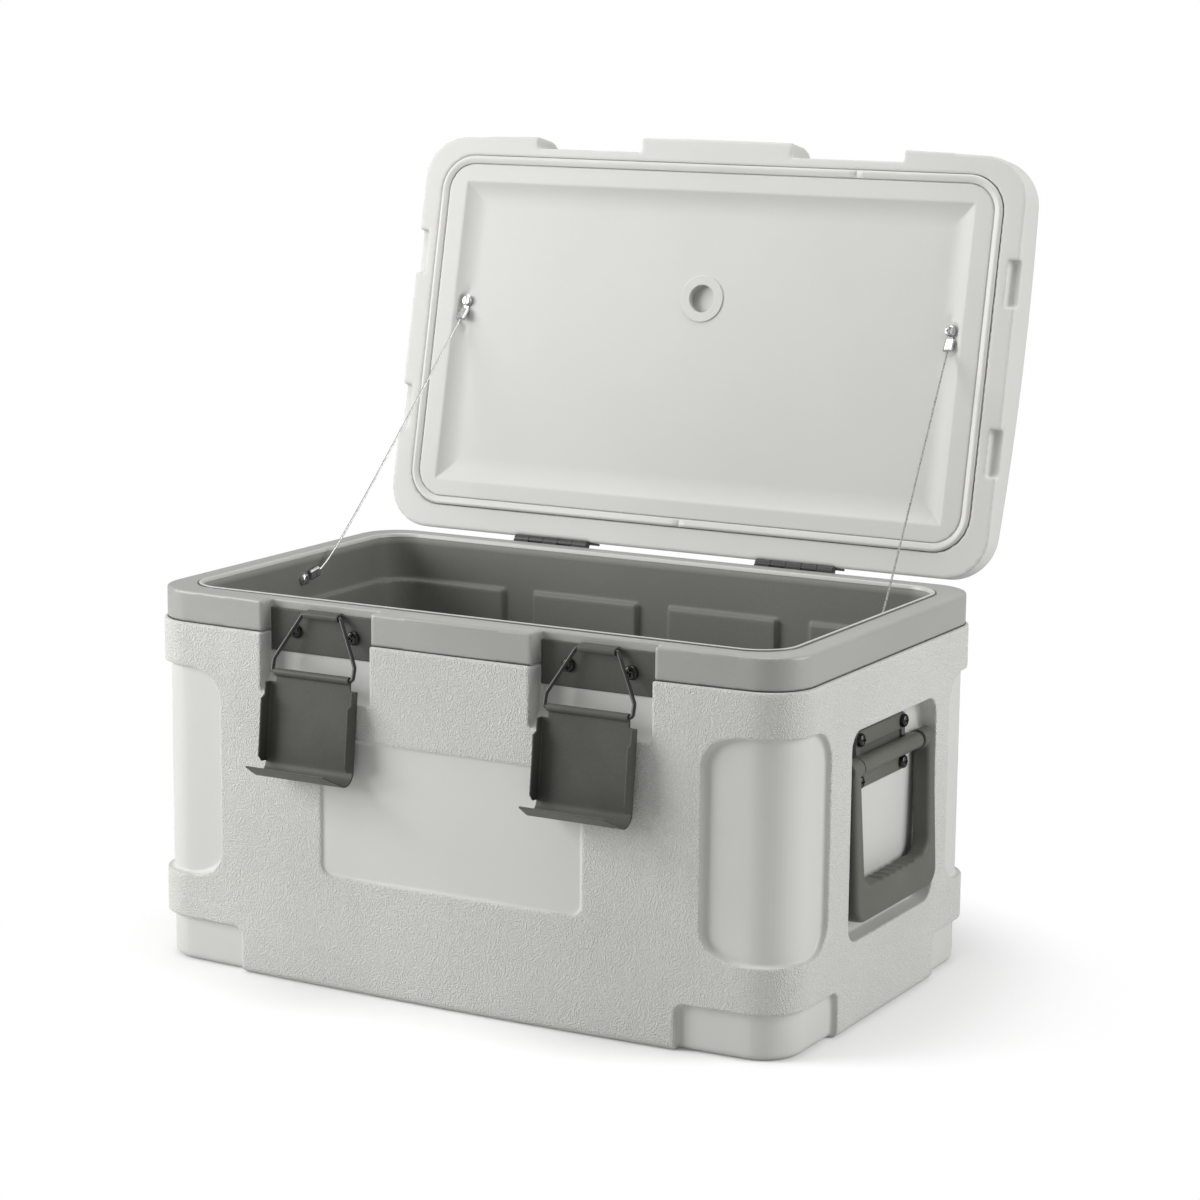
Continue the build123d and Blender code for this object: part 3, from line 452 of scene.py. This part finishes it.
def ringLoft(name, half, middle, radius, profile, level, stops=(), down=False):
    path = []
    for quarter, (signX, signY) in enumerate(((1, 1), (-1, 1), (-1, -1), (1, -1))):
        centre = (signX * (half[0] - radius), middle + signY * (half[1] - radius))
        for step in range(ring["arcSteps"] + 1):
            angle = math.pi / 2 * (quarter + step / ring["arcSteps"])
            path.append((centre[0], centre[1], math.cos(angle), math.sin(angle), 1.0))
        side = math.sin(math.pi / 2 * (quarter + 1))
        if abs(side) > 0.5:
            for spot, sideOfSpot in sorted(stops, reverse=side > 0):
                if sideOfSpot == side:
                    for shift, pinch in ring["pinch"]:
                        path.append((spot - shift * side, centre[1], 0.0, side, pinch))
    vertices, faces = [], []
    sign = -1 if down else 1
    for x, y, outX, outY, pinch in path:
        for inset, rise in profile:
            reach = radius - inset
            vertices.append((x + outX * reach, y + outY * reach, level + sign * rise * pinch))
    count, width = len(path), len(profile)
    for index in range(count):
        for row in range(width - 1):
            a, b = index * width + row, ((index + 1) % count) * width + row
            faces.append((a, b, b + 1, a + 1) if not down else (a, a + 1, b + 1, b))
    mesh = bpy.data.meshes.new(name)
    mesh.from_pydata(vertices, [], faces)
    allSmooth(mesh)
    return addObject(name, mesh)


# Painted shadow in the joint between the collar and the shell: a dark strip set just outside the collar's foot, open
# where the latch channels cross it
jointShadow = {"depth": 0.0021, "low": 0.2440, "high": 0.2457, "gap": (0.0615, 0.1535), "arcSteps": 12, "bowShare": 0.99}


# Points round the tub at a depth below its skin
def skinOutline(depth):
    reach = shell["corner"] - depth
    slope = math.atan2(shell["cornerX"], shell["bowCentre"] - shell["frontCornerY"])
    steps = jointShadow["arcSteps"]
    back, front = [], []
    for step in range(steps + 1):
        angle = math.pi / 2 * step / steps
        back.append((shell["cornerX"] + reach * math.cos(angle), shell["backCornerY"] + reach * math.sin(angle)))
        angle = -math.pi / 2 + slope + (math.pi / 2 - slope) * step / steps
        front.append((shell["cornerX"] + reach * math.cos(angle), shell["frontCornerY"] + reach * math.sin(angle)))
    radius = shell["bowRadius"] - depth
    places = [step / steps * shell["cornerX"] * jointShadow["bowShare"] for step in range(-steps, steps + 1)]
    places += [side * edge for side in (-1, 1) for edge in jointShadow["gap"]]
    bow = [(x, shell["bowCentre"] - math.sqrt(radius ** 2 - x ** 2)) for x in sorted(places)]
    return back + [(-x, y) for x, y in reversed(back)] + [(-x, y) for x, y in reversed(front)] + bow + front


path = skinOutline(jointShadow["depth"])
strips = []
for index, (x, y) in enumerate(path):
    after = (index + 1) % len(path)
    middle = abs(x + path[after][0]) / 2
    if y > 0 or not jointShadow["gap"][0] < middle < jointShadow["gap"][1]:
        strips.append((index, after, len(path) + after, len(path) + index))
mesh = bpy.data.meshes.new("collarJointShadow")
mesh.from_pydata([(x, y, level) for level in (jointShadow["low"], jointShadow["high"]) for x, y in path], [], strips)
collarJointShadow = addObject("collarJointShadow", mesh)
# The dark finish on this strip is painted shadow in the gap
paint(collarJointShadow, "hinge_metal")
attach(collarJointShadow, "base")

# Raised bead round the mouth, with a flat strip outside it painted dark as the painted shadow of a fine groove
bead = {"profile": ((-0.0037, -0.0002), (-0.0036, 0.0004), (-0.0024, 0.0004), (-0.0023, 0.0008), (-0.0019, 0.0011),
                    (-0.0012, 0.0012), (-0.0005, 0.0010), (0.0, 0.0004), (0.0003, -0.0015)),
        "grooveShadowEnds": -0.00235, "sharp": 55}
mouthBead = ringLoft("mouthBead", (liner["mouthX"], liner["mouthY"]), 0.0, liner["corner"], bead["profile"],
                     liner["top"])
rings = len(mouthBead.data.vertices) // len(bead["profile"])
# Painted shadow: the flat strip outside the bead is painted dark as the shadow of a groove
inGrooveShadow = np.tile([float(inset < bead["grooveShadowEnds"]) for inset, rise in bead["profile"]], rings)
maskOn(mouthBead, "paintedGrooveShadow", inGrooveShadow)
# Painted highlight: the rest of the bead is painted pale, as where its crest catches the light
maskOn(mouthBead, "bead", 1 - inGrooveShadow)
mouthBead.data.set_sharp_from_angle(angle=math.radians(bead["sharp"]))
paint(mouthBead, "liner_plastic")
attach(mouthBead, "base")

# Lid: its inside and its seal are shaped closed and then turned open about the hinge line
lid = {"open": 101.8, "hingeY": 0.1576, "hingeZ": 0.26815, "bottom": 0.26875}


def turnLid(points, degrees):
    angle = math.radians(degrees)
    turned = points.copy()
    y, z = points[:, 1] - lid["hingeY"], points[:, 2] - lid["hingeZ"]
    turned[:, 1] = lid["hingeY"] + y * math.cos(angle) - z * math.sin(angle)
    turned[:, 2] = lid["hingeZ"] + y * math.sin(angle) + z * math.cos(angle)
    return turned


lidCover = {"voxel": 0.0013, "passes": 3, "keep": 0.25}
lidOuter = mouldedCopy("lidCover", "lid_shell", lidCover, "lid_foam")

# Inner panel: the sides of its sunk middle run out in a long soft cove
lidPanel = {"voxel": 0.001, "passes": 1, "keep": 0.3, "halfWidth": 0.2121, "front": -0.1138, "back": 0.1178,
            "depth": 0.0046, "cove": 0.019, "coveCurve": 2.3, "coveStarts": 0.0004, "faceAbove": 0.0012,
            "seatX": 0.2024, "seatY": -0.0151, "seatReach": 0.008, "seatFade": 0.005, "seatSquash": 0.6}


def coveDish(points):
    closed = turnLid(points, lid["open"])
    x, y, z = closed[:, 0], closed[:, 1], closed[:, 2]
    inside = np.minimum(lidPanel["halfWidth"] - np.abs(x), np.minimum(y - lidPanel["front"], lidPanel["back"] - y))
    share = np.clip(inside / lidPanel["cove"], 0, 1)
    curve = lid["bottom"] + lidPanel["depth"] * (1 - (1 - share) ** lidPanel["coveCurve"])
    seat = np.hypot(np.abs(x) - lidPanel["seatX"], (y - lidPanel["seatY"]) * lidPanel["seatSquash"])
    bend = np.clip((seat - lidPanel["seatReach"]) / lidPanel["seatFade"], 0, 1)
    bend = bend * bend * (3 - 2 * bend)
    low = z < lid["bottom"] + lidPanel["depth"] + lidPanel["faceAbove"]
    onFace = (inside > lidPanel["coveStarts"]) & (inside < lidPanel["cove"]) & low
    closed[:, 2] = np.where(onFace, curve * bend + z * (1 - bend), z)
    return turnLid(closed, -lid["open"])


lidInner = mouldedCopy("lidPanel", "lid_inner_panel", lidPanel, reshape=coveDish)

# Seal: a soft rounded band, in two strips that meet at two seams
seal = {"inset": 0.00045, "halfX": 0.234, "front": -0.1345, "back": 0.1375, "corner": 0.028,
        "profile": ((0.0, -0.0028), (0.0, 0.0001), (0.0003, 0.0008), (0.0009, 0.0013), (0.0018, 0.0015),
                    (0.0030, 0.0013), (0.0042, 0.0009), (0.0053, 0.0006), (0.0059, 0.0003), (0.0061, -0.0002),
                    (0.0061, -0.0028)),
        "seams": ((0.0033, 1.0), (0.117, -1.0))}
lidSeal = ringLoft("lidSeal", (seal["halfX"] - seal["inset"], (seal["back"] - seal["front"]) / 2 - seal["inset"]),
                   (seal["back"] + seal["front"]) / 2, seal["corner"] - seal["inset"], seal["profile"],
                   lid["bottom"], seal["seams"], down=True)
lidSeal.data.vertices.foreach_set("co", turnLid(meshPoints(lidSeal), -lid["open"]).ravel())
paint(lidSeal, "gasket_rubber")
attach(lidSeal, "lid")
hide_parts("lid_gasket")
print("cooler: lid,", len(lidOuter.data.polygons), len(lidInner.data.polygons), "faces")

# Side handles and latches
grip = {"voxel": 0.0008, "passes": 5, "keep": 0.35}
bracket = {"voxel": 0.0005, "passes": 2, "keep": 0.3}
pressed = {"voxel": 0.00042, "passes": 3, "keep": 0.25}
for side in sides:
    mouldedCopy("handleGrip_" + side, "handle_grip_" + side, grip)
    mouldedCopy("handleBracket_" + side, "handle_bracket_" + side, bracket)
    mouldedCopy("latchLever_" + side, "latch_lever_" + side, pressed)
    mouldedCopy("latchPlate_" + side, "latch_plate_" + side, pressed)
print("cooler: handles and latches")

# Wire stays: six strands laid round a core, along a smooth line between the two sleeves
stay = {"route": ((0.22718, 0.02693, 0.25375), (0.22518, 0.03782, 0.25688), (0.20526, 0.17963, 0.41744),
                  (0.20386, 0.19007, 0.42948)),
        "strands": 6, "strandRadius": 0.00027, "layRadius": 0.00048, "pitch": 0.008, "step": 0.0008, "corners": 6,
        "resolution": 64, "sharp": 50}


def stayLine(mirror):
    curve = bpy.data.curves.new("stayLine", "CURVE")
    curve.dimensions = "3D"
    curve.resolution_u = stay["resolution"]
    spline = curve.splines.new("NURBS")
    spline.points.add(len(stay["route"]) - 1)
    for point, (x, y, z) in zip(spline.points, stay["route"]):
        point.co = (mirror * x, y, z, 1.0)
    spline.order_u = 3
    spline.use_endpoint_u = True
    holder = addObject("stayLine", curve)
    bpy.context.view_layer.update()
    graph = bpy.context.evaluated_depsgraph_get()
    line = bpy.data.meshes.new_from_object(holder.evaluated_get(graph), depsgraph=graph)
    points = np.array([vertex.co for vertex in line.vertices])
    bpy.data.objects.remove(holder)
    return points


def evenly(points, step):
    lengths = np.concatenate([[0], np.cumsum(np.linalg.norm(np.diff(points, axis=0), axis=1))])
    count = int(lengths[-1] / step) + 1
    where = np.linspace(0, lengths[-1], count)
    return where, np.stack([np.interp(where, lengths, points[:, axis]) for axis in range(3)], axis=1)


# Two directions square to a line at each of its points
def squareTo(points):
    ahead = np.gradient(points, axis=0)
    ahead /= np.linalg.norm(ahead, axis=1)[:, None]
    across = np.cross(ahead, (1.0, 0.0, 0.0))
    across /= np.linalg.norm(across, axis=1)[:, None]
    return across, np.cross(ahead, across)


def tubeAlong(points, vertices, faces):
    radius, corners = stay["strandRadius"], stay["corners"]
    start = len(vertices)
    across, above = squareTo(points)
    for index in range(len(points)):
        for corner in range(corners):
            turn = 2 * math.pi * corner / corners
            vertices.append(points[index] + radius * (math.cos(turn) * across[index] + math.sin(turn) * above[index]))
    for index in range(len(points) - 1):
        for corner in range(corners):
            a = start + index * corners + corner
            b = start + index * corners + (corner + 1) % corners
            faces.append((a, b, b + corners, a + corners))
    faces.append(tuple(start + corner for corner in reversed(range(corners))))
    faces.append(tuple(start + (len(points) - 1) * corners + corner for corner in range(corners)))


for side, mirror in zip(sides, (1, -1)):
    where, line = evenly(stayLine(mirror), stay["step"])
    across, above = squareTo(line)
    vertices, faces = [], []
    for strand in range(stay["strands"]):
        turn = 2 * math.pi * (where / stay["pitch"] + strand / stay["strands"])
        laid = line + stay["layRadius"] * (np.cos(turn)[:, None] * across + np.sin(turn)[:, None] * above)
        tubeAlong(laid, vertices, faces)
    tubeAlong(line, vertices, faces)
    mesh = bpy.data.meshes.new("wireStay_" + side)
    mesh.from_pydata([tuple(v) for v in vertices], [], faces)
    cable = addObject("wireStay_" + side, mesh)
    smoothShade(cable, stay["sharp"])
    paint(cable, "bright_steel")
    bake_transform(cable)
    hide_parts("stay_cable_" + side)
print("cooler: wire stays")

# Nodes kept as they are: pressed sheet and turned parts get a fine broken edge and their finish
brokenEdge = {"widths": {"hinge_leaf_body": 0.0003, "hinge_leaf_lid": 0.0003, "stay_end_body": 0.0002,
                         "stay_end_lid": 0.0002}, "segments": 2, "sharp": 50}
for name, obj in nodes.items():
    paint(obj, slotOf[name])
    smoothShade(obj)
    for start, width in brokenEdge["widths"].items():
        if name.startswith(start):
            bevel = obj.modifiers.new("brokenEdge", "BEVEL")
            bevel.width = width
            bevel.segments = brokenEdge["segments"]
            bevel.limit_method = "ANGLE"
            bevel.angle_limit = math.radians(brokenEdge["sharp"])
            bevel.harden_normals = True
print("cooler: kept nodes")

# Floor: pale, brighter to the camera alone, and away from the tub it fades into a white page
floor = {"size": 40.0, "level": -0.0002, "shade": 0.62, "seen": 0.82, "lift": 0.12, "shadowEnds": 0.25,
         "pageStarts": 0.39, "spread": (0.9, 1.15, 0.0)}
mesh = bpy.data.meshes.new("studioFloor")
half, level = floor["size"] / 2, floor["level"]
mesh.from_pydata([(-half, -half, level), (half, -half, level), (half, half, level), (-half, half, level)],
                 [], [(0, 1, 2, 3)])
floorObject = addObject("studioFloor", mesh)
floorMaterial = bpy.data.materials.new("studioFloor")
floorMaterial.use_nodes = True
floorMaterial.node_tree.nodes.clear()
start = Flow(floorMaterial.node_tree)
seen = start.node("ShaderNodeLightPath", output=0)
dim = start.node("ShaderNodeBsdfDiffuse", {}, {"Color": (floor["shade"],) * 3 + (1.0,)})
bright = start.node("ShaderNodeBsdfDiffuse", {}, {"Color": (floor["seen"],) * 3 + (1.0,)})
glow = start.node("ShaderNodeEmission", {}, {"Strength": floor["lift"]})
lifted = start.node("ShaderNodeAddShader", {}, {0: bright, 1: glow})
middle = start.node("ShaderNodeVectorMath", {"operation": "MULTIPLY"}, {0: start.place(), 1: floor["spread"]})
reach = start.node("ShaderNodeVectorMath", {"operation": "LENGTH"}, {0: middle}, 1)
page = start.node("ShaderNodeEmission", {}, {"Strength": 1.0})
faded = start.node("ShaderNodeMixShader", {}, {0: reach.between(floor["shadowEnds"], floor["pageStarts"]), 1: lifted,
                                              2: page})
mixed = start.node("ShaderNodeMixShader", {}, {0: seen, 1: dim, 2: faded})
start.node("ShaderNodeOutputMaterial", {}, {"Surface": mixed})
floorObject.data.materials.append(floorMaterial)

# Light: a white room that lights little by itself, with a broad lamp from the left, the right and above
room = {"glow": 0.26, "sheen": 0.42, "seen": 1.0}
world = bpy.data.worlds.new("studioRoom")
scene.world = world
world.use_nodes = True
world.node_tree.nodes.clear()
start = Flow(world.node_tree)
camera = start.node("ShaderNodeLightPath", output=0)
glossy = start.node("ShaderNodeLightPath", output=3)
through = start.node("ShaderNodeLightPath", output=6)
visible = camera.sum("MAXIMUM", camera, through)
dim = start.node("ShaderNodeBackground", {}, {"Color": (1.0, 1.0, 1.0, 1.0),
                                              "Strength": room["glow"] + glossy * (room["sheen"] - room["glow"])})
bright = start.node("ShaderNodeBackground", {}, {"Color": (1.0, 1.0, 1.0, 1.0), "Strength": room["seen"]})
mixed = start.node("ShaderNodeMixShader", {}, {0: visible, 1: dim, 2: bright})
start.node("ShaderNodeOutputWorld", {}, {"Surface": mixed})

lamps = {
    "lampLeft": {"from": (-1.9, -1.4, 0.95), "size": 1.6, "power": 57},
    "lampRight": {"from": (1.9, 0.35, 0.9), "size": 1.4, "power": 26},
    "lampTop": {"from": (-0.1, -0.1, 2.4), "size": 1.6, "power": 26},
}
aim = Vector((0, 0, 0.25))
for name, lamp in lamps.items():
    light = bpy.data.lights.new(name, "AREA")
    light.shape = "DISK"
    light.size = lamp["size"]
    light.energy = lamp["power"]
    holder = addObject(name, light)
    holder.location = lamp["from"]
    holder.rotation_euler = (aim - Vector(lamp["from"])).to_track_quat("-Z", "Y").to_euler()

# Camera worked out from the photograph's straight edges
view = {"turn": 28.993, "rise": 10.564, "roll": 0.568, "distance": 2.29671, "target": (0.02738, 0.0, 0.26098),
        "sensor": 36.0, "lens": 98.498}
turn, rise, roll = (math.radians(view[key]) for key in ("turn", "rise", "roll"))
back = Vector((math.sin(turn) * math.cos(rise), -math.cos(turn) * math.cos(rise), math.sin(rise)))
flat = Vector((math.cos(turn), math.sin(turn), 0))
upright = back.cross(flat)
right = flat * math.cos(roll) + upright * math.sin(roll)
up = upright * math.cos(roll) - flat * math.sin(roll)
cameraData = bpy.data.cameras.new("photoCamera")
cameraData.sensor_width = view["sensor"]
cameraData.lens = view["lens"]
cameraObject = addObject("photoCamera", cameraData)
cameraObject.matrix_world = Matrix.Translation(Vector(view["target"]) + back * view["distance"]) @ Matrix(
    (right, up, back)).transposed().to_4x4()
scene.camera = cameraObject
scene.view_settings.view_transform = "Standard"
print("cooler: floor, lamps and camera")
